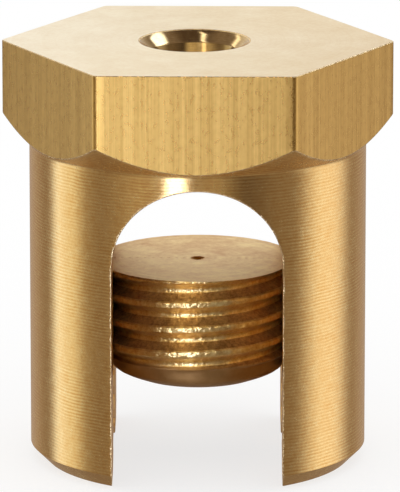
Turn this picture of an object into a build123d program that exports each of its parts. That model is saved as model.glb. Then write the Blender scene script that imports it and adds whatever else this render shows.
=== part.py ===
from build123d import *
import os
from math import cos, pi, radians, sqrt, tan

# Grounding screw: a hexagon-headed cap with a slotted, bored skirt that drops over
# a conductor, and a threaded plug that runs up the bore and clamps it.
# Millimetres, +Z up through the head. The origin is on the axis at the leg ends.
# The conductor slot runs along Y, and two corners of the hexagon lie on X.

# hexagon head
across_flats = 27.0
hex_corner_radius = 0.5
total_height = 33.7
head_chamfer_angle = 45.0        # turned underside of the head, measured from the axis

# skirt
skirt_diameter = 26.7
skirt_height = 25.7              # from the leg ends to the turned underside of the head
leg_end_chamfer = 1.2

# conductor slot across the skirt, round at its closed end
slot_width = 13.4
slot_height = 24.5

# clamping screw, M16 x 2, shown part of the way up
screw_diameter = 16.0
screw_length = 9.3
screw_raised = 6.7               # underside of the screw above the leg ends
screw_end_radius = 5.1           # flat of the lower end, inside its shallow cone
screw_end_rise = 0.75            # height of that cone
screw_lead_low_radius = 6.8      # the lead above it widens a little to where the thread starts
screw_lead_high_radius = 7.2
screw_lead_height = 1.9          # from the lower end to the top of the lead
screw_top_edge_chamfer = 0.25
thread_pitch = 2.0
thread_angle = 60.0              # included
thread_start = 0.9               # raises the thread on the screw, which sets where it begins
thread_run_out = 0.3             # from the top face down to the groove's middle at its upper end
socket_across_flats = 8.0
socket_depth = 5.0
socket_mouth_diameter = 9.5
centre_mark_diameter = 1.2
centre_mark_depth = 0.35

# blind bore for the screw, drawn plain at its thread's outside diameter
thread_running_clearance = 0.05  # radial
bore_depth = 25.1
bore_mouth_chamfer = 0.8

# plain hole in the head
top_hole_diameter = 7.0
top_hole_wall_depth = 4.5        # from the head's face to the end of the drilled wall
top_countersink_diameter = 8.8
top_countersink_angle = 90.0     # included
drill_point_angle = 118.0        # included

# worked out from the above
skirt_radius = skirt_diameter / 2
screw_radius = screw_diameter / 2
bore_radius = screw_radius + thread_running_clearance
top_hole_radius = top_hole_diameter / 2
hex_corner_reach = across_flats / 2 / cos(pi / 6)


def hexagon(flats):
    """Flat hexagon by its distance across flats, with two corners on X."""
    return RegularPolygon(flats / 2, 6, major_radius=False)


def turned(points):
    """Solid of revolution about Z from half-section points (radius, height)."""
    half_section = make_face(Polyline(*[(r, 0, z) for r, z in points], close=True))
    return revolve(half_section, Axis.Z)


def drill_point(radius, included_angle):
    """Height of the cone that a drill leaves at the end of a hole."""
    return radius / tan(radians(included_angle / 2))


# turned blank: skirt, underside of the head and the bar it was turned from
flare = hex_corner_reach - skirt_radius
cap_blank = turned([
    (0, 0),
    (skirt_radius - leg_end_chamfer, 0),
    (skirt_radius, leg_end_chamfer),
    (skirt_radius, skirt_height),
    (hex_corner_reach, skirt_height + flare / tan(radians(head_chamfer_angle))),
    (hex_corner_reach, total_height),
    (0, total_height),
])
hex_bar = extrude(hexagon(across_flats), total_height)
hex_bar = fillet(hex_bar.edges().filter_by(Axis.Z), hex_corner_radius)
cap = cap_blank & hex_bar

# bore from below, with its lead-in chamfer
bore_mouth_radius = bore_radius + bore_mouth_chamfer
cap -= turned([
    (0, 0),
    (bore_mouth_radius, 0),
    (bore_radius, bore_mouth_chamfer),
    (bore_radius, bore_depth),
    (0, bore_depth),
])

# conductor slot, open at the leg ends
slot_arch_centre = slot_height - slot_width / 2
slot_straight = Pos(0, 0, slot_arch_centre / 2) * Box(slot_width, across_flats, slot_arch_centre)
slot_arch = Pos(0, 0, slot_arch_centre) * Rot(X=90) * Cylinder(slot_width / 2, across_flats)
cap -= slot_straight + slot_arch

# countersunk hole in the head
countersink_radius = top_countersink_diameter / 2
countersink_depth = drill_point(countersink_radius - top_hole_radius, top_countersink_angle)
top_hole_tip = top_hole_wall_depth + drill_point(top_hole_radius, drill_point_angle)
cap -= turned([
    (0, total_height),
    (countersink_radius, total_height),
    (top_hole_radius, total_height - countersink_depth),
    (top_hole_radius, total_height - top_hole_wall_depth),
    (0, total_height - top_hole_tip),
])

# clamping screw: turned plug with a centre mark on its flat top
screw_top = screw_raised + screw_length
screw = turned([
    (0, screw_raised),
    (screw_end_radius, screw_raised),
    (screw_lead_low_radius, screw_raised + screw_end_rise),
    (screw_lead_high_radius, screw_raised + screw_lead_height),
    (screw_radius, screw_raised + screw_lead_height + screw_radius - screw_lead_high_radius),
    (screw_radius, screw_top - screw_top_edge_chamfer),
    (screw_radius - screw_top_edge_chamfer, screw_top),
    (centre_mark_diameter / 2, screw_top),
    (0, screw_top - centre_mark_depth),
])

# right-hand metric thread: one groove swept down to the root and cut from the plug,
# run in from below and stopped short of the top face, whose rim stays whole
thread_depth = thread_pitch * sqrt(3) / 2 * 17 / 24
thread_root_radius = screw_radius - thread_depth
groove_over = 0.3                # how far the groove's profile stands proud of the plug
groove_turns_under = 1           # whole turns that it starts below its height at the lower end
crest_flat = thread_pitch / 8
flank_run = thread_depth * tan(radians(thread_angle / 2))
groove_root_half = (thread_pitch - crest_flat) / 2 - flank_run
groove_reach = screw_radius + groove_over
groove_mouth_half = groove_root_half + (groove_reach - thread_root_radius) * tan(radians(thread_angle / 2))
groove_low = screw_raised + thread_start - groove_turns_under * thread_pitch
groove_high = screw_top - thread_run_out
groove_section = make_face(Polyline(
    (thread_root_radius, 0, groove_low - groove_root_half),
    (groove_reach, 0, groove_low - groove_mouth_half),
    (groove_reach, 0, groove_low + groove_mouth_half),
    (thread_root_radius, 0, groove_low + groove_root_half),
    close=True,
))
groove_path = Helix(
    pitch=thread_pitch,
    height=groove_high - groove_low,
    radius=screw_radius,
    center=(0, 0, groove_low),
)
screw -= sweep(groove_section, path=groove_path, is_frenet=True)

# hexagon socket in its underside, broached into a drilled hole with a chamfered mouth
socket_drill_radius = socket_across_flats / 2
socket_mouth_radius = socket_mouth_diameter / 2
socket_mouth_depth = socket_mouth_radius - socket_drill_radius
socket_floor = screw_raised + socket_depth
screw -= Pos(0, 0, screw_raised) * extrude(hexagon(socket_across_flats), socket_depth)
screw -= turned([
    (0, screw_raised),
    (socket_mouth_radius, screw_raised),
    (socket_drill_radius, screw_raised + socket_mouth_depth),
    (socket_drill_radius, socket_floor),
    (0, socket_floor + drill_point(socket_drill_radius, drill_point_angle)),
])

os.makedirs("parts", exist_ok=True)
export_step(cap, "parts/slotted_cap.step")
export_step(screw, "parts/clamping_screw.step")
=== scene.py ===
from math import atan2, cos, pi, radians, sin, tan

import bmesh
import bpy
import numpy as np
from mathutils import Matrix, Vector


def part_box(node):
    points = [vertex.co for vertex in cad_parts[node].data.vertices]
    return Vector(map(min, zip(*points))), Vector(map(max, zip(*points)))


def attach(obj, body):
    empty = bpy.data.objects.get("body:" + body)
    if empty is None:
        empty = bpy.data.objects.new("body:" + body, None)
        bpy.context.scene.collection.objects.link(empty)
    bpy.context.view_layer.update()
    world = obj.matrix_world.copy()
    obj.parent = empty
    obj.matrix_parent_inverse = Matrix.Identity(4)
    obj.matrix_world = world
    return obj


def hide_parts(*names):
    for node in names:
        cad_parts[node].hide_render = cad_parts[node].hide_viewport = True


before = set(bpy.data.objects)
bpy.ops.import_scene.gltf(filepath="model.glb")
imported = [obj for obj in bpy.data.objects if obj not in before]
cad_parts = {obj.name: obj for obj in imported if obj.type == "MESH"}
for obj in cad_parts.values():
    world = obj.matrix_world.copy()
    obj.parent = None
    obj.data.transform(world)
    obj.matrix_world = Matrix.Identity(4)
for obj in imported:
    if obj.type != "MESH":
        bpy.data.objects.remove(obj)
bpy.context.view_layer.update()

mm = 0.001


def boxOf(node):
    # a solid's lowest and highest corners in millimetres
    return [[round(value / mm, 3) for value in corner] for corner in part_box(node)]


capBox, screwBox = boxOf("slotted_cap"), boxOf("clamping_screw")
print("frame loaded:", sorted(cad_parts))

# the shader maths


class Wire:
    # one socket of a material: + - * and maths() add Math nodes; mixed() makes colours and along() vectors
    def __init__(self, tree, socket=None):
        self.tree = tree
        self.socket = socket

    def node(self, kind, settings=None, output=0, **values):
        # any node: its settings first, then its sockets by name (spaces as _) or by number (n0, n1)
        made = self.tree.nodes.new(kind)
        for key, value in (settings or {}).items():
            if key == "stops":
                ramp = made.color_ramp.elements
                while len(ramp) < len(value):
                    ramp.new(0.5)
                for stop, (place, level) in zip(ramp, value):
                    stop.position, stop.color = place, (level, level, level, 1)
            else:
                setattr(made, key, value)
        for key, value in values.items():
            which = int(key[1:]) if key[0] == "n" and key[1:].isdigit() else key.replace("_", " ")
            if isinstance(value, Wire):
                self.tree.links.new(value.socket, made.inputs[which])
            else:
                made.inputs[which].default_value = value
        return Wire(self.tree, made.outputs[output])

    def maths(self, operation, *others):
        # a Math node on this value and the others
        inputs = {f"n{i + 1}": other for i, other in enumerate(others)}
        return self.node("ShaderNodeMath", {"operation": operation}, n0=self, **inputs)

    def __add__(self, other):
        return self.maths("ADD", other)

    def __mul__(self, other):
        return self.maths("MULTIPLY", other)

    def __sub__(self, other):
        return self.maths("SUBTRACT", other)

    def __rsub__(self, other):
        return self * -1.0 + other

    __radd__, __rmul__ = __add__, __mul__

    def held(self, low=0.0, high=1.0):
        # kept between two limits
        return self.maths("MAXIMUM", low).maths("MINIMUM", high)

    def wave(self, length):
        # from 0 to 1 and back over each length: 0.5 + 0.5 sin(2 pi value / length)
        return (self * (2 * pi / length)).maths("SINE") * 0.5 + 0.5

    def ramp(self, *stops):
        # grey level by this value, straight between stops of (value, level)
        return self.node("ShaderNodeValToRGB", {"stops": stops}, Fac=self)

    def mixed(self, first, second):
        # colour from first to second by this value, which the node keeps between 0 and 1
        return self.node("ShaderNodeMix", {"data_type": "RGBA"}, 2, n0=self, n6=first, n7=second)

    def along(self, operation, other):
        # a Vector Math node on this vector and another
        return self.node("ShaderNodeVectorMath", {"operation": operation}, n0=self, n1=other)

    def part(self, axis):
        # one part of this vector: 0, 1 or 2 for X, Y or Z
        return self.node("ShaderNodeSeparateXYZ", output=axis, Vector=self)

    def reach(self):
        # how far this place is from the upright axis: the root of x squared plus y squared
        x, y = self.part(0), self.part(1)
        return (x * x + y * y).maths("SQRT")

    def noise(self, scale, detail=3.0, roughness=0.55, stretch=(1, 1, 1)):
        # cloud noise on this vector; a stretch below 1 draws it out along that axis
        place = self.along("MULTIPLY", stretch) if stretch != (1, 1, 1) else self
        return place.node("ShaderNodeTexNoise", Vector=place, Scale=scale, Detail=detail, Roughness=roughness)

    def rings(self, scale):
        # noise that changes only with the reach and the height, as facing leaves it
        around = self.node("ShaderNodeCombineXYZ", X=self.reach(), Y=self.part(2))
        return around.noise(scale, detail=4, roughness=0.7)


def material(name, paint, anisotropic=0.0, turned=0.0, metallic=1.0):
    # a metal finish: paint(place in millimetres) gives its colour, its roughness and its bump in millimetres
    made = bpy.data.materials.new(name)
    made.use_nodes = True
    tree = made.node_tree
    shader = next(n for n in tree.nodes if n.type == "BSDF_PRINCIPLED")
    place = Wire(tree).node("ShaderNodeTexCoord", output=3).along("MULTIPLY", (1000, 1000, 1000))
    shade, rough, height = paint(place)
    shader.inputs["Metallic"].default_value = metallic
    shader.inputs["Anisotropic"].default_value = anisotropic
    shader.inputs["Anisotropic Rotation"].default_value = turned
    bump = height.node("ShaderNodeBump", Height=height, Strength=1.0, Distance=mm)
    for socket, value in (("Base Color", shade), ("Roughness", rough), ("Normal", bump)):
        tree.links.new(value.socket, shader.inputs[socket])
    return made


def colour(r, g, b):
    # screen values 0-255 as linear light: c / 12.92 near black, otherwise ((c + 0.055) / 1.055) ^ 2.4
    c = np.array([r, g, b]) / 255
    c = np.where(c <= 0.04045, c / 12.92, ((c + 0.055) / 1.055) ** 2.4)
    return (*c.tolist(), 1.0)


# the thread, shared by the screw and the cap's bore

thread = {
    "pitch": 2.0, "outside": 7.98, "root": 6.95,
    "flankRun": tan(radians(30)),   # along the axis, for each millimetre of a flank's depth
    "grooveHalf": 0.2,              # half width of the groove at its root
    "start": 7.6,                   # height of the groove's middle at angle 0
    "runOut": (15.45, 15.8),        # at the screw's top it fades out between these heights of its middle
    "rounding": (0.18, 0.14),       # of its roots and its crests
    "leadTop": 8.9,                 # the thread's torn finish ends here, on the turned lead
    "innerReach": 7.1, "outerReach": 8.05, "play": 0.10,    # in the bore: ridge tip, wall, play at the sides
}

# the finishes: each one's darker and paler brass, and the lengths of its regular marks in millimetres

brass = {
    "drawn": (colour(181, 140, 67), colour(225, 183, 100)),
    "turned": (colour(226, 175, 96), colour(248, 216, 144)),
    # pale: the head face's bright overhead highlight painted in
    "facedSheen": (colour(230, 206, 158), colour(255, 246, 220)),
    "sunk": (colour(180, 142, 84), colour(246, 220, 160)),
    "bored": (colour(150, 118, 66), colour(216, 186, 122)),
    # a little darker: painted shade for the slot's walls and the bore
    "milledShade": (colour(196, 140, 64), colour(240, 201, 122)),
    # pale edges: a painted highlight along the broken edges, over their burrs
    "burrHighlight": (colour(232, 190, 116), colour(255, 236, 188)),
    "crest": (colour(208, 162, 92), colour(255, 232, 160)),
    # darker: painted shade for the ridges' upper flanks
    "flankShade": (colour(136, 100, 58), colour(222, 180, 116)),
    # darker brown: painted shade for the turned lead's downward-facing cone
    "lead": (colour(156, 118, 68), colour(190, 150, 94)),
    "end": (colour(200, 146, 78), colour(255, 232, 170)),
    "feed": 0.262, "drillFeed": 0.14, "chatter": 0.62,
}


def drawnFlat(place):
    # cold-drawn bar: fine lines along the bar that fade in and out, over a fine grain
    line = place.noise(6.0, detail=3, roughness=0.7, stretch=(1, 1, 0.004))
    line = line.ramp((0.38, 0.0), (0.5, 0.5), (0.62, 1.0))
    broad = place.noise(1.1, detail=2, stretch=(1, 1, 0.01))
    patch = place.noise(0.25, detail=2, stretch=(1, 1, 0.35))
    grain = place.noise(2.6, detail=2, roughness=0.5, stretch=(1, 1, 0.6))
    tone = (line - 0.5) * patch * 0.9 + (broad - 0.5) * 0.55 + (grain - 0.5) * 0.7 + 0.5
    return tone.mixed(*brass["drawn"]), grain * 0.06 + 0.25, line * 0.0004


def turnedSkirt(place):
    # feed lines round the skirt, and as rings under the feet, uneven in depth, over a faint leathery grain
    drift = place.noise(0.25, detail=2)
    wave = (place.part(2) + place.reach() * 0.5 + drift * 0.3).wave(brass["feed"])
    cut = place.noise(3.8, detail=2, roughness=0.7, stretch=(0.06, 0.06, 1.0))
    deep = place.noise(0.22, detail=2).ramp((0.35, 0.25), (0.65, 1.5))
    hide = place.noise(1.5, detail=3, roughness=0.6)
    grain = place.noise(5.0, detail=1.5)
    line = wave * 0.55 + cut * 0.45
    tone = (line - 0.5) * deep + (hide - 0.5) * 0.9 + (grain - 0.5) * 0.7 + 0.5
    return tone.mixed(*brass["turned"]), hide * 0.08 + 0.22, line * 0.008 + hide * 0.006


def facedTopSheen(place):
    # head face: fine rings from facing, with faint clouding; painted pale as its bright overhead highlight,
    # and painted shade makes it a little darker to the right
    rings = place.rings(3.0)
    cloud = place.noise(0.35, detail=4, roughness=0.65)
    speck = place.noise(3.4, detail=3, roughness=0.6)
    # the x term is painted shade: darker to the right
    tone = (rings - 0.5) * 0.6 + (cloud - 0.5) * 0.9 + (speck - 0.5) * 0.6 + 0.5 - place.part(0) * 0.022
    return tone.mixed(*brass["facedSheen"]), cloud * 0.12 + 0.28, rings * 0.008 + speck * 0.004


def drilled(shades, lean):
    # countersink and hole: bright from the drill, with fine lines round the wall, whose torn skin leans up by
    # the slope `lean`
    def paint(place):
        z = place.part(2)
        ring = z.wave(brass["drillFeed"])
        tear = place.noise(2.0, detail=4, roughness=0.7)
        tone = ring * 0.08 + tear * 0.75
        return tone.mixed(*shades), tear * 0.06 + 0.08, ring * 0.0003 + tear * 0.002 - z * lean
    return paint


def milledSlotShade(place):
    # slot walls and bore: cutter lines across the wall, painted a little darker as shade inside the slot and
    # bore
    arc = place.noise(4.0, detail=3, roughness=0.7, stretch=(1, 0.15, 1))
    tear = place.noise(2.2, detail=4, roughness=0.7)
    tone = arc * 0.5 + tear * 0.45
    return tone.mixed(*brass["milledShade"]), tear * 0.12 + 0.34, arc * 0.008 + tear * 0.008


def burredEdgeHighlight(place):
    # edges left sharp and lightly burred, uneven, and painted pale as a highlight along the edge
    tear = place.noise(5.0, detail=2, roughness=0.7)
    return tear.mixed(*brass["burrHighlight"]), tear * 0.14 + 0.16, tear * 0.10


def tornCut(shades, smooth, bite):
    # thread: torn across the cut and chipped by `bite` millimetres, with at least the roughness `smooth`; the
    # turned lead below it is even and dull, and painted a darker brown as shade on its downward-facing cone
    def paint(place):
        tear = place.noise(3.4, detail=5, roughness=0.8)
        chip = place.noise(4.5, detail=1.5, stretch=(0.6, 0.6, 0.8))
        broad = place.noise(0.9, detail=3)
        lead = ((thread["leadTop"] - place.part(2)) * 4.0 + (tear - 0.5) * 1.5).held()
        tone = (tear - 0.5) * 2.4 + (broad - 0.5) * 1.0 + 0.5
        # the lead's dull, darker brown is painted shade
        dull = (broad * 1.4 - 0.2).mixed(*brass["lead"])
        rough = (tear * 0.12 + smooth) * (1 - lead) + (broad * 0.1 + 0.45) * lead
        return lead.mixed(tone.mixed(*shades), dull), rough, chip * bite * (1 - lead * 0.95)
    return paint


def facedEnd(place):
    # flat end of the screw: facing rings under brown handling marks, and a row of chatter dots across it;
    # painted shade makes it darker towards the back
    x, y = place.part(0), place.part(1)
    rings = place.rings(2.6)
    cloud = place.noise(0.4, detail=6, roughness=0.7)
    speck = place.noise(3.0, detail=3, roughness=0.7)
    dots = (x.wave(brass["chatter"]) * 2.0 - 1.1).held() * (1 - y.maths("ABSOLUTE") * 5.0).held()
    # the y term is painted shade: darker towards the back
    tone = (rings - 0.5) * 0.5 + (cloud - 0.5) * 2.0 + (speck - 0.5) * 0.5 - y * 0.025 - dots * 0.45 + 0.6
    return tone.mixed(*brass["end"]), cloud * 0.12 + 0.34, rings * 0.010 + cloud * 0.02 - dots * 0.02


drilledFinish = material("drilled_brass", drilled(brass["bored"], lean=0.36), anisotropic=0.5, turned=0.25)
capFinishes = [
    material("drawn_flat_brass", drawnFlat, anisotropic=0.6),
    material("turned_skirt_brass", turnedSkirt, anisotropic=0.92, turned=0.25),
    material("faced_top_sheen_brass", facedTopSheen, anisotropic=0.4, turned=0.25),
    material("countersunk_brass", drilled(brass["sunk"], lean=0.0), anisotropic=0.5, turned=0.25),
    drilledFinish,
    material("milled_slot_shade_brass", milledSlotShade),
    material("burred_edge_highlight_brass", burredEdgeHighlight),
]
crestCut = tornCut(brass["crest"], smooth=0.24, bite=0.08)
# upper flanks: the thread's finish with darker paint as shade
flankShadeCut = tornCut(brass["flankShade"], smooth=0.30, bite=0.04)
screwFinishes = [
    material("cut_thread_brass", crestCut, anisotropic=0.5, turned=0.25, metallic=0.9),
    material("upper_flank_shade_brass", flankShadeCut, metallic=0.85),
    material("faced_end_brass", facedEnd),
    drilledFinish,
]
# the numbers of these finishes on the pieces' faces, in the same order
drawn, turned, facedSheen, sunk, bored, milledShade, burrHighlight = range(len(capFinishes))
threaded, shadedFlank, ended, socketed = range(len(screwFinishes))
print("finishes made")

# meshes from grids


def sew(name, grids, finishes, sharpAngle=24.0, weld=0.002):
    # one closed mesh from grids of points in millimetres: each four neighbours make a face, and points closer
    # than `weld` become one. A grid's finish is one number, or one for each cell
    points, faces, kinds, start = [], [], [], 0
    for grid, kind in grids:
        rows, columns = grid.shape[:2]
        at = np.arange(rows * columns).reshape(rows, columns) + start
        faces.append(np.stack([at[:-1, :-1], at[1:, :-1], at[1:, 1:], at[:-1, 1:]], -1).reshape(-1, 4))
        kinds.append(np.broadcast_to(kind, (rows - 1, columns - 1)).ravel())
        points.append(grid.reshape(-1, 3))
        start += rows * columns
    points, faces, kinds = np.concatenate(points), np.concatenate(faces), np.concatenate(kinds)
    mesh = bpy.data.meshes.new(name)
    mesh.from_pydata((points * mm).tolist(), [], faces.tolist())
    for finish in finishes:
        mesh.materials.append(finish)
    mesh.polygons.foreach_set("material_index", kinds.astype(np.int32))
    shell = bmesh.new()
    shell.from_mesh(mesh)
    bmesh.ops.remove_doubles(shell, verts=shell.verts, dist=weld * mm)
    bmesh.ops.recalc_face_normals(shell, faces=shell.faces)
    openEdges = sum(1 for edge in shell.edges if len(edge.link_faces) != 2)
    volume = shell.calc_volume() / mm ** 3
    shell.to_mesh(mesh)
    shell.free()
    mesh.polygons.foreach_set("use_smooth", np.ones(len(mesh.polygons), bool))
    mesh.set_sharp_from_angle(angle=radians(sharpAngle))
    mesh.update()
    piece = bpy.data.objects.new(name, mesh)
    bpy.context.scene.collection.objects.link(piece)
    size = f"{len(mesh.vertices)} points, {len(mesh.polygons)} faces, {openEdges} open edges"
    print(f"{name}: {size}, {volume:.0f} cubic mm")
    return piece


def polar(radius, angle, z):
    # points from radius, angle and height, broadcast together: x = r cos a, y = r sin a
    radius, angle, z = np.broadcast_arrays(radius, angle, z)
    return np.stack([radius * np.cos(angle), radius * np.sin(angle), z], -1)


def spun(points, angle):
    # points turned about the upright axis: x cos a - y sin a, x sin a + y cos a
    x, y, z = np.moveaxis(points, -1, 0)
    return np.stack([x * cos(angle) - y * sin(angle), x * sin(angle) + y * cos(angle), z], -1)


def between(first, last, share):
    # a share of the way from first to last: first + share (last - first)
    return first + share * (last - first)


def steps(*stops):
    # even numbers from stop to stop: the first value, then (next value, how many steps to it)
    found = [np.array([stops[0]], float)]
    last = stops[0]
    for value, count in stops[1:]:
        found.append(np.linspace(last, value, count + 1)[1:])
        last = value
    return np.concatenate(found)


def carriedRound(profile, angle):
    # a profile of (radius, height, finish) carried round the axis: rows of radius, angle and height, and the
    # finish of each cell, where all three may change with the angle
    rows = np.stack([np.stack(np.broadcast_arrays(radius, angle, z), -1) for radius, z, _ in profile])
    kinds = np.stack([np.broadcast_to(kind, angle.shape)[1:] for _, _, kind in profile[1:]])
    return rows, kinds


def ripple(x, seed, waves=9):
    # uneven line from -1 to 1: the mean of sines with seeded starts, of `slow` to `fast` waves a millimetre
    slow, fast = 0.3, 2.2
    rng = np.random.default_rng(seed)
    speed = 2 * pi * np.exp(rng.uniform(np.log(slow), np.log(fast), waves))
    return np.sin(np.multiply.outer(x, speed) + rng.uniform(0, 2 * pi, waves)).mean(-1) * 1.8


def grain(place, seed, size, waves=24):
    # uneven field from about -1 to 1 in space: the mean of sines in seeded directions, `size` mm long
    rng = np.random.default_rng(seed)
    way = rng.normal(size=(waves, 3))
    way *= (2 * pi / size) * rng.uniform(0.5, 1.6, (waves, 1)) / np.linalg.norm(way, axis=1, keepdims=True)
    return np.sin(place @ way.T + rng.uniform(0, 2 * pi, waves)).mean(-1) * 3


def fromGroove(z, angle):
    # distance along the axis from the middle of the nearest groove turn, and that middle's height: the groove
    # climbs one pitch a turn
    turn = (z - thread["start"]) / thread["pitch"] - angle / (2 * pi)
    nearest = np.round(turn)
    middle = thread["start"] + (nearest + angle / (2 * pi)) * thread["pitch"]
    return np.abs(turn - nearest) * thread["pitch"], middle


def threadRows(offsets, low, high):
    # heights at angle 0 of the rows that climb with the thread: each groove's middle plus the offsets, where
    # that lies between two heights
    middles = thread["start"] % thread["pitch"] + thread["pitch"] * np.arange(-2, 14)
    rows = (middles[:, None] + offsets).ravel()
    return rows[(rows > low) & (rows < high)]


def softClip(x, low, high, soft):
    # clip with rounded corners: of a distance d past a limit it leaves (d + the root of d^2 + soft^2) / 2
    x = low + (x - low + np.sqrt((x - low) ** 2 + soft[0] ** 2)) / 2
    return high - (high - x + np.sqrt((high - x) ** 2 + soft[1] ** 2)) / 2


def screwRadius(z, angle):
    # outside radius: rounded root, 60 degree flanks, blunt crest; whole again past the run-out
    away, middle = fromGroove(z, angle)
    depth = (away - thread["grooveHalf"]) / thread["flankRun"]
    cutTo = softClip(thread["root"] + depth, thread["root"], thread["outside"], thread["rounding"])
    begin, end = thread["runOut"]
    fade = np.clip((end - middle) / (end - begin), 0, 1)
    return between(thread["outside"], cutTo, fade)


def hexCorner(flats, corner):
    # a hexagon's rounded corner: how far its circle's middle is from the axis, and the angle to where it ends
    middle = (flats / 2 - corner) / cos(pi / 6)
    return middle, atan2(corner / 2, middle + corner * cos(pi / 6))


def hexOutline(angle, flats, corner):
    # radius of a hexagon with corners at 0, 60, 120 ... degrees: half the flats over the cosine of the angle
    # from the flat's middle, and inside a corner's ends the far side of its circle
    off = np.abs((angle + pi / 6) % (pi / 3) - pi / 6)
    middle, end = hexCorner(flats, corner)
    side = flats / 2 / np.cos(pi / 6 - off)
    inside = np.sqrt(np.maximum(corner ** 2 - (middle * np.sin(off)) ** 2, 0))
    return np.where(off < end, middle * np.cos(off) + inside, side)


drillSlope = tan(radians(31))   # rise of a drill's point for each millimetre of its radius

# the slotted cap

cap = {
    "acrossFlats": 2 * capBox[1][1], "cornerRadius": 0.5, "top": capBox[1][2],
    "crowned": 0.05,                # how far the drawn flats fall off towards the corners
    "skirtRadius": 13.35, "skirtTop": 25.7, "footChamfer": 1.2,
    "slotHalf": 6.7, "slotTop": 24.5, "boreTop": 25.1, "mouthChamfer": 0.8,
    "holeRadius": 3.5, "holeWall": 4.5, "sinkRadius": 4.4,  # drilled hole, its wall's depth, its countersink
    "holeAside": -0.25,             # the hole's middle, along X
    "asideFades": (5.0, 12.5),      # radii between which that shift dies out over the face
    "skew": radians(0.76),          # the slot's turn off square to the flats
    "edge": 0.10, "sinkEdge": 0.05, # broken edges of the slot and the countersink,
    "faceEdge": 0.06, "coneEdge": 0.05,     # of the head's face and of its turned cone
    "neck": ((0.06, 0.06), (0.01, -0.07), (0.0, -0.25)),    # from cone to skirt: out from it, up from its top
    "burr": 0.7,                    # unevenness of the slot's outer edge, as a share of the edge,
    "burrSets": 2.0,                # and the depth below the crown over which it sets in
    "threadTop": (22.6, 24.2),      # where the bore's thread fades out
    "climbing": (-0.45, 22.8),      # the bore's rows climb with the thread between these heights at angle 0,
    "levelling": (21.4, 23.4),      # and level off between these
    "rows": {"chamfer": 3, "arch": 14, "web": 8, "edge": 5},    # cells across the parts of a leg
}
archAt = cap["slotTop"] - cap["slotHalf"]       # height of the arch's middle
archReach = cap["slotHalf"] + cap["edge"]       # its radius with the broken edge
crown = archAt + archReach


def capAngles():
    # angles round half of the cap, from slot to slot, with close steps at the head's three corners
    corner = hexCorner(cap["acrossFlats"], cap["cornerRadius"])[1]
    quarter, sixty = pi / 2, pi / 3
    return steps(-quarter, (-sixty - corner, 16), (-sixty + corner, 5), (-corner, 30), (corner, 5),
                 (sixty - corner, 30), (sixty + corner, 5), (quarter, 16))


def capHead(around, spin):
    # the head as a profile carried round, from the bottom of the drilled hole over the face, down the flats
    # and the turned cone to the skirt above the arch
    top, hole, sink, skirt = cap["top"], cap["holeRadius"], cap["sinkRadius"], cap["skirtRadius"]
    fromMiddle = np.abs((around + spin) % (pi / 3) - pi / 6)
    outline = hexOutline(around + spin, cap["acrossFlats"], cap["cornerRadius"])
    outline = outline - cap["crowned"] * (np.tan(fromMiddle) / tan(pi / 6)) ** 2
    wallLow, wallHigh = top - cap["holeWall"], top - (sink - hole)
    tip = wallLow - hole * drillSlope
    sinkOut = sink + cap["sinkEdge"]
    faceOut, flatTop = outline - cap["faceEdge"], top - cap["faceEdge"]
    cone = cap["skirtTop"] + (outline - skirt)      # where the 45 degree cone would meet the flats
    flatLow = cone + cap["coneEdge"]
    coneOut, coneTop = outline - cap["coneEdge"], cone - cap["coneEdge"]
    neck = [(skirt + out, cap["skirtTop"] + up) for out, up in cap["neck"]]
    corner = 0.01                                   # softens the hole's corner at the sink
    profile = [(f * hole, between(tip, wallLow, f), bored) for f in steps(0, (1, 5))]
    profile += [(hole, z, bored) for z in steps(wallLow, (wallHigh - corner, 7))[1:]]
    profile += [(hole + corner, wallHigh + corner, bored)]
    profile += [(between(hole, sink, f), between(wallHigh, top, f), sunk) for f in steps(0.08, (0.92, 3))]
    # the broken edges here take the pale painted edge highlight
    profile += [(sinkOut, top, burrHighlight)]
    profile += [(between(sinkOut, faceOut, f), top, facedSheen) for f in steps(0, (0.9, 10), (1, 2))[1:]]
    profile += [(outline, flatTop, burrHighlight)]
    profile += [(outline, between(flatTop, flatLow, f), drawn)
                for f in steps(0, (0.06, 1), (0.94, 9), (1, 1))[1:]]
    profile += [(coneOut, coneTop, burrHighlight)]
    profile += [(between(coneOut, neck[0][0], f), between(coneTop, neck[0][1], f), turned)
                for f in steps(0, (1, 6))[1:]]
    profile += [(*neck[1], turned)]
    toCrown = steps(0, (1, 5))
    profile += [(neck[2][0], between(neck[2][1], crown, f), turned) for f in toCrown]
    rows, kinds = carriedRound(profile, around)
    # the last rows turn onto the slot's own square; the hole's rings stand a little off the axis
    rows[-len(toCrown):, :, 1] += cap["skew"] * toCrown[:, None]
    points = polar(rows[..., 0], rows[..., 1] + spin, rows[..., 2])
    points[..., 0] += cap["holeAside"] * np.interp(rows[..., 0], cap["asideFades"], (1, 0))
    return points, kinds


def legRows():
    # heights of a leg's rows: the bore's follow the ridges of its thread, then both walls' go by even steps
    # round the arch to its crown
    ridge, wall = [thread["grooveHalf"] - thread["play"] + (reach - thread["root"]) * thread["flankRun"]
                   for reach in (thread["innerReach"], thread["outerReach"])]
    side = steps(ridge, (wall, 2))
    inner = threadRows(np.concatenate([[0], side, thread["pitch"] - side[::-1]]), *cap["climbing"])
    lastArc = np.arcsin((inner[-1] - archAt) / archReach)
    arch = archAt + archReach * np.sin(np.linspace(lastArc, pi / 2, cap["rows"]["arch"] + 1)[1:])
    chamfer = cap["rows"]["chamfer"]
    outer = steps(0, (cap["footChamfer"], chamfer), (inner[-1], len(inner) - chamfer - 1))
    return np.concatenate([outer, arch]), np.concatenate([inner, arch])


def slotReach(z):
    # half width of the slot with its broken edge: all of it below the arch, less as its circle closes above
    return np.sqrt(np.maximum(archReach ** 2 - np.maximum(z - archAt, 0) ** 2, 0))


def bySide(share, front, back):
    # a value for each row: its front one where the share is negative, and its back one elsewhere
    return np.where(share < 0, front[:, None], back[:, None])


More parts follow.
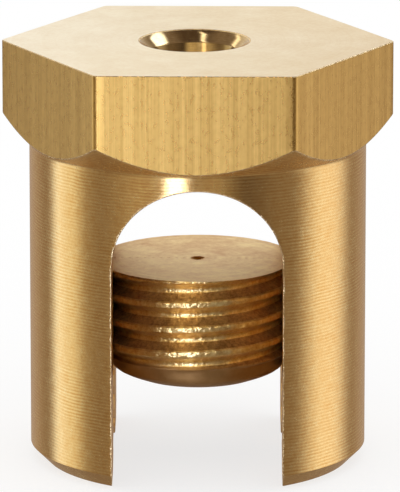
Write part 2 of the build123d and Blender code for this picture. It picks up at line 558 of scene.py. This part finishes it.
def legSkin(z, share, seed):
    # skirt below the arch's crown: it sweeps to the slot at both sides, where x = r cos sweep, and stops at
    # an uneven edge that runs true near the crown
    radius = cap["skirtRadius"] - np.maximum(cap["footChamfer"] - z, 0)
    arch = np.arccos(np.clip(slotReach(z) / archReach, 0, 1))
    sweeps, lifts = [], []
    for side in (-1, 1):
        burr = cap["burr"] * np.clip((crown - z) / cap["burrSets"], 0, 1) * ripple(z, seed + side)
        reach = cap["slotHalf"] + cap["edge"] * (1 + burr)
        sweeps.append(np.arccos(np.clip(reach * np.cos(arch) / radius, 0, 1)))
        lifts.append(np.minimum(z, archAt) + reach * np.sin(arch) - z)
    lift = bySide(share, *lifts) * np.abs(share) ** 8
    return polar(radius[:, None], share * bySide(share, *sweeps), z[:, None] + lift)


def boreRadius(z, angle):
    # radius of the bore: the screw's groove filled up to the inner reach, with play at its sides, fading out
    # towards the top; and a 45 degree chamfer at the mouth
    away = fromGroove(z, angle)[0] - thread["grooveHalf"] + thread["play"]
    wall = thread["outerReach"]
    cutAt = np.clip(thread["root"] + away / thread["flankRun"], thread["innerReach"], wall)
    begin, end = cap["threadTop"]
    fade = np.clip((end - z) / (end - begin), 0, 1)
    mouth = wall + cap["mouthChamfer"]
    return np.minimum(np.maximum(between(wall, cutAt, fade), mouth - z), mouth)


def legBore(row, share, spin):
    # bore with its thread, from slot to slot: a row's height is its own plus its climb times the sweep, where
    # the climb is a pitch a turn and dies out below the crown
    begin, end = cap["levelling"]
    climb = np.clip((end - row) / (end - begin), 0, 1) * thread["pitch"] / (2 * pi)
    edges = []
    for side in (-1, 1):
        # where a row meets the slot's edge, height and sweep depend on each other: rounds of substitution
        sweep = side * np.arccos(np.clip(slotReach(row) / thread["outerReach"], 0, 1))
        for _ in range(40):
            z = np.clip(row + climb * sweep, 0, crown)
            sweep = (sweep + side * np.arccos(np.clip(slotReach(z) / boreRadius(z, sweep + spin), 0, 1))) / 2
        edges.append(sweep)
    sweep = np.abs(share) * bySide(share, *edges)
    z = np.clip(row[:, None] + climb[:, None] * sweep, 0, crown)
    return polar(boreRadius(z, sweep + spin), sweep, z)


def legFoot(skin, bore, share):
    # underside of a leg, from the skirt's lowest row to the bore's: radii evenly between theirs, each swept
    # to the slot, where x = r cos sweep
    f = np.linspace(0, 1, cap["rows"]["web"] + 1)[:, None]
    radius = between(np.hypot(*skin[0, :, :2].T), np.hypot(*bore[0, :, :2].T), f)
    foot = polar(radius, share * np.arccos(np.clip(archReach / radius, 0, 1)), 0.0)
    foot[0], foot[-1] = skin[0], bore[0]
    return foot


def boreEnd(bore, around, spin):
    # the bore's wall above the crown and its flat end, from the bore's top row to the axis
    rows = [polar(boreRadius(z, around + spin), around, z) for z in steps(crown, (cap["boreTop"], 2))[1:]]
    rows += [polar(thread["outerReach"] * f, around, cap["boreTop"]) for f in (0.66, 0.33, 0)]
    return np.stack([bore[-1], *rows])


def onWall(points, away, inward):
    # points brought to the slot's true outline, x and z on its arch or its uprights, and along the wall by
    # `inward`: y is the root of their reach squared less x squared
    half = cap["slotHalf"]
    arch = np.arctan2(np.maximum(points[..., 2] - archAt, 0), np.abs(points[..., 0]))
    x = half * np.cos(arch)
    y = away * (np.sqrt(points[..., 0] ** 2 + points[..., 1] ** 2 - x ** 2) + inward)
    return np.stack([x, y, np.minimum(points[..., 2], archAt) + half * np.sin(arch)], -1)


def slotWall(outer, inner, under):
    # one wall of the slot, straight across from skirt to bore, and the rounded edge all round it: a curve
    # from skin to wall drawn towards their corner, (1 - f)^2 skin + 2 f (1 - f) corner + f^2 wall
    away, edge = np.sign(outer[0, 1]), cap["edge"]
    wallOut, wallIn = onWall(outer, away, -edge), onWall(inner, away, edge)
    wallUnder = onWall(under, away, 0.0)
    for line in (wallOut, wallIn):
        line[:, 2] = np.maximum(line[:, 2], edge)
    across = np.linspace(0, 1, len(under))[:, None]
    wallUnder[:, 1:] = between(wallOut[0, 1:], wallIn[0, 1:], across)
    wall = between(wallOut[:, None], wallIn[:, None], across)
    wall[..., 0] = np.sqrt(cap["slotHalf"] ** 2 - np.clip(wall[..., 2] - archAt, 0, cap["slotHalf"]) ** 2)
    wall[0], wall[:, 0], wall[:, -1] = wallUnder, wallOut, wallIn
    skin = np.concatenate([outer[::-1], under[1:-1], inner])
    corner = onWall(skin, away, 0.0)
    onto = np.concatenate([wallOut[::-1], wallUnder[1:-1], wallIn])
    f = np.linspace(0, 1, cap["rows"]["edge"] + 1)[:, None, None]
    rounded = skin * (1 - f) ** 2 + corner * 2 * f * (1 - f) + onto * f ** 2
    # the rounded edge takes the painted edge highlight on the skirt and the outer half of the foot, and the
    # slot's darker painted shade on the rest
    onSkirt = np.arange(len(skin) - 1) < len(outer) + len(under) // 2
    return [(wall, milledShade), (rounded, np.where(onSkirt, burrHighlight, milledShade))]


def slottedCap():
    # two halves that meet at the slot's middle: the head over one leg each
    around = capAngles()
    share = around / (pi / 2)       # from -1 at a half's front edge to 1 at its back edge
    outerRows, innerRows = legRows()
    grids = []
    for turn in (0, 1):
        spin = turn * pi + cap["skew"]
        skin = legSkin(outerRows, share, 11 + 7 * turn)
        bore = legBore(innerRows, share, spin)
        foot = legFoot(skin, bore, share)
        leg = [(skin, turned), (bore, milledShade), (foot, turned), (boreEnd(bore, around, spin), milledShade)]
        leg += slotWall(skin[:, 0], bore[:, 0], foot[:, 0])
        leg += slotWall(skin[:, -1], bore[:, -1], foot[:, -1])
        grids.append(capHead(around, turn * pi))
        grids += [(spun(grid, spin), kind) for grid, kind in leg]
    return sew("slotted_cap_brass", grids, capFinishes)


capPiece = slottedCap()
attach(capPiece, "cap")
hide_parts("slotted_cap")

# the clamping screw

screw = {
    "low": screwBox[0][2], "high": screwBox[1][2], "topChamfer": 0.12, "lowEdge": 0.1,
    # turned lead below the thread: heights and radii from the lower end up
    "lead": ((6.7, 5.1), (7.05, 6.0), (7.28, 6.5), (7.5, 6.8), (7.8, 6.95), (8.6, 7.2), (9.4, 8.0)),
    # rows of the thread, from a groove's middle to a ridge's: closest at the roundings
    "rows": (0, 0.1, 0.2, 0.3, 0.42, 0.56, 0.7, 0.77, 0.83),
    "socket": 8.0, "socketDepth": 5.0, "mouthRadius": 4.75,
    "mark": (0.6, 0.35),        # centre mark: radius, depth
    "tear": 0.04,               # roughness of the crests
    "tearFrom": (7.5, 8.0),     # radii between which it sets in
    # flankEnds: where the upper flank's painted shade ends
    "flankEnds": (0.02, 0.1),   # the upper flank's finish: how far past the root, how far short of the crest
    "cells": 540,               # round a turn
}


def threadFinish(z, angle):
    # the ridges' upper flanks take a darker copy of the brass as painted shade: below a groove's middle, past
    # its root, short of a crest
    away, middle = fromGroove(z, angle)
    past, short = screw["flankEnds"]
    onFlank = (away > thread["grooveHalf"] + past) & (screwRadius(z, angle) < thread["outside"] - short)
    return np.where((z < middle) & onFlank, shadedFlank, threaded)


def torn(points, radius, inside):
    # torn crests: the outermost metal is pulled in, and along between the end faces, by a fine uneven field
    crest = np.interp(radius, screw["tearFrom"], (0, 1))
    pull = screw["tear"] * crest * np.clip(0.5 + 0.6 * grain(points, 5, 0.8), 0, 1)
    points[..., :2] *= (1 - pull / np.maximum(radius, 1))[..., None]
    points[..., 2] += np.where(inside, screw["tear"] * 0.6 * crest * grain(points, 8, 1.2), 0)
    return points


def clampingScrew():
    # a profile carried round once, from the centre mark over the end face, down the thread and the turned
    # lead to the hexagon socket and its drilled floor
    low, high, pitch = screw["low"], screw["high"], thread["pitch"]
    angle = np.linspace(0, 2 * pi, screw["cells"] + 1)
    leadHeights, leadRadii = np.array(screw["lead"]).T

    def outside(z):
        # thread radius cut back to the turned lead
        return np.minimum(screwRadius(z, angle), np.interp(z, leadHeights, leadRadii))

    mark, markDeep = screw["mark"]
    rim = np.minimum(screwRadius(high, angle), thread["outside"] - screw["topChamfer"])
    profile = [(f * mark, high - markDeep * (1 - f), ended) for f in steps(0, (1, 4))]
    profile += [(between(mark, rim, f), high, ended) for f in steps(0, (0.94, 9), (1, 1))[1:]]

    # rows down the thread; the middle one of a ridge stands a little off, where the nearest groove is decided
    highCut, lowCut = high - screw["topChamfer"], low + screw["lowEdge"]
    half = np.array(screw["rows"])
    offsets = np.concatenate([half, [pitch / 2 + 0.01], pitch - half[:0:-1]])
    rows = threadRows(offsets, lowCut - pitch, highCut)[::-1]
    for row in (highCut, *rows, lowCut - pitch):
        z = np.clip(row + pitch * angle / (2 * pi), lowCut, highCut)
        profile += [(outside(z), z, threadFinish(z, angle))]
    profile += [(outside(z), z, threaded) for z in steps(lowCut, (low, 2))[1:]]

    # lower end and socket
    socket = hexOutline(angle, screw["socket"], 0)
    mouth, floor = screw["mouthRadius"], low + screw["socketDepth"]
    mouthTop = low + mouth - socket
    drill = screw["socket"] / 2
    profile += [(r, low, socketed) for r in steps(leadRadii[0], (mouth, 4))[1:]]
    profile += [(between(mouth, socket, f), between(low, mouthTop, f), socketed)
                for f in steps(0, (1, 3))[1:]]
    profile += [(socket, between(mouthTop, floor, f), socketed) for f in steps(0, (1, 8))[1:]]
    profile += [(between(drill, socket, 0.6), floor, socketed)]
    profile += [(f * drill, floor + (1 - f) * drill * drillSlope, socketed) for f in steps(1, (0, 5))]
    rows, kinds = carriedRound(profile, angle)
    radius, z = rows[..., 0], rows[..., 2]
    points = torn(polar(radius, angle, z), radius, (z > lowCut) & (z < highCut))
    return sew("clamping_screw_brass", [(points, kinds)], screwFinishes)


screwPiece = clampingScrew()
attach(screwPiece, "screw")
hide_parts("clamping_screw")

# floor, backdrop and light

studio = {
    "radius": 1.0, "floorHalf": 3.0,    # of the tent and the floor, in metres
    "tentCells": (120, 360),            # from pole to pole, and round
    # lights on the cloth of a round tent that only reflections show. In degrees: way round from the front,
    # height above the level, half width, half height and width of the soft edge; then the colour
    "lights": {
        "strip": (-14, -3, 6, 27, 3, (4.4, 5.0, 7.4)),
        "brow": (-24, 40, 48, 8, 9, (1.90, 1.68, 1.26)),
        "strip wing": (14, 0, 10, 40, 10, (0.14, 0.13, 0.11)),
        "strip head": (-25, 34, 5, 10, 3, (2.0, 1.9, 1.8)),
        "over": (-50, 74, 9, 9, 4, (2.4, 2.4, 2.6)),
        "front": (-38, 5, 12, 50, 20, (0.22, 0.20, 0.17)),
        "left": (-102, -2, 13, 36, 8, (0.66, 0.70, 0.74)),
        "left core": (-110, -12, 4, 28, 8, (0.60, 0.80, 1.35)),
        "left wing": (-86, 10, 8, 30, 14, (0.22, 0.21, 0.18)),
        "high left": (-134, 32, 4, 9, 4, (1.7, 1.7, 1.7)),
        "right": (101, -11, 19, 28, 13, (0.88, 0.90, 1.05)),
        "high right": (121, 42, 15, 12, 4, (2.8, 3.2, 4.2)),
        "back": (-172, 35, 30, 26, 22, (0.93, 0.95, 0.94)),
        "rim": (180, -14, 46, 10, 16, (0.22, 0.19, 0.15)),
        "card": (34, 0, 14, 60, 16, (-0.12, -0.10, -0.09)),
        "roof": (0, 90, 180, 22, 8, (-0.15, -0.13, -0.12)),
        "table": (0, -90, 180, 25, 10, (0.12, 0.11, 0.10)),
    },
    "dim": (0.26, 0.21, 0.19),      # the cloth between the lights
    "floor": (0.28, 0.72),          # the floor's own shade, and what is added to it for the camera
}


def plainMaterial(name, shade, light):
    # a matt material for the stage: its shade, and the light it gives off, which light(wire) works out
    made = bpy.data.materials.new(name)
    made.use_nodes = True
    shader = next(n for n in made.node_tree.nodes if n.type == "BSDF_PRINCIPLED")
    shader.inputs["Base Color"].default_value = (shade, shade, shade, 1)
    shader.inputs["Roughness"].default_value = 1.0
    shader.inputs["Specular IOR Level"].default_value = 0.0
    shader.inputs["Emission Strength"].default_value = 1.0
    made.node_tree.links.new(light(Wire(made.node_tree)).socket, shader.inputs["Emission Color"])
    return made


def paleFloor():
    # a flat sheet whose extra light only the camera sees, and which no reflection shows
    shade, extra = studio["floor"]
    made = plainMaterial("pale_floor", shade, lambda start: start.node("ShaderNodeLightPath") * extra)
    far = studio["floorHalf"]
    mesh = bpy.data.meshes.new("floor")
    mesh.from_pydata([(-far, -far, 0), (far, -far, 0), (far, far, 0), (-far, far, 0)], [], [(0, 1, 2, 3)])
    mesh.materials.append(made)
    sheet = bpy.data.objects.new("floor", mesh)
    bpy.context.scene.collection.objects.link(sheet)
    sheet.visible_glossy = False


def eased(inside, soft):
    # 0 to 1 across a light's soft edge, by how far inside it a direction lies: 3 t^2 - 2 t^3
    t = np.clip(inside / (2 * soft) + 0.5, 0, 1)
    return t * t * (3 - 2 * t)


def clothLight(way, height):
    # the tent's colour towards a direction: the dim cloth, and each light inside its soft edges
    total = np.tile(studio["dim"], (len(way), 1))
    for middle, lift, wide, tall, soft, bright in studio["lights"].values():
        across = eased(wide - np.abs((way - middle + 180) % 360 - 180), soft)
        level = across * eased(tall - np.abs(height - lift), soft)
        total = total + level[:, None] * bright
    return np.maximum(total, 0)


def clothTent():
    # a ball round the object: each point's light is stored on it, and only reflections see it
    stored = {"attribute_name": "light"}
    made = plainMaterial("tent_cloth", 0.0, lambda start: start.node("ShaderNodeAttribute", stored))
    made.cycles.emission_sampling = "NONE"
    rows, columns = studio["tentCells"]
    up = np.linspace(-pi / 2, pi / 2, rows + 1)[:, None]
    way = np.linspace(0, 2 * pi, columns + 1)
    ball = polar(np.cos(up), way, np.sin(up)) * studio["radius"] / mm
    tent = sew("reflection_tent", [(ball, 0)], [made])
    points = np.empty(len(tent.data.vertices) * 3)
    tent.data.vertices.foreach_get("co", points)
    x, y, z = points.reshape(-1, 3).T / studio["radius"]
    light = clothLight(np.degrees(np.arctan2(x, -y)), np.degrees(np.arcsin(np.clip(z, -1, 1))))
    colours = np.concatenate([light, np.ones((len(light), 1))], axis=1)
    tent.data.color_attributes.new("light", "FLOAT_COLOR", "POINT").data.foreach_set("color", colours.ravel())
    tent.visible_camera = tent.visible_diffuse = tent.visible_transmission = tent.visible_shadow = False


paleFloor()
clothTent()

world = bpy.data.worlds.new("studio")
bpy.context.scene.world = world
world.use_nodes = True
world.node_tree.nodes["Background"].inputs["Color"].default_value = (1, 1, 1, 1)
world.node_tree.nodes["Background"].inputs["Strength"].default_value = 1.0

# camera

camera = {  # in metres, with the lens and the sensor in millimetres
    "azimuth": radians(0.961), "elevation": radians(13.745), "distance": 0.5241,
    "target": (0, 0, 0.01685), "shift": (0.00456, 0.0032),
    "lens": 481.87, "sensor": 36, "clip": (0.01, 50),
}
view = bpy.data.cameras.new("camera")
view.lens, view.sensor_width, view.sensor_fit = camera["lens"], camera["sensor"], "AUTO"
view.shift_x, view.shift_y = camera["shift"]
view.clip_start, view.clip_end = camera["clip"]
eye = bpy.data.objects.new("camera", view)
turn, rise = camera["azimuth"], camera["elevation"]
back = Vector((sin(turn) * cos(rise), -cos(turn) * cos(rise), sin(rise)))
eye.location = Vector(camera["target"]) + back * camera["distance"]
eye.rotation_euler = back.to_track_quat("Z", "Y").to_euler()
bpy.context.scene.collection.objects.link(eye)
bpy.context.scene.camera = eye
bpy.context.scene.view_settings.view_transform = "Standard"
print("studio set")
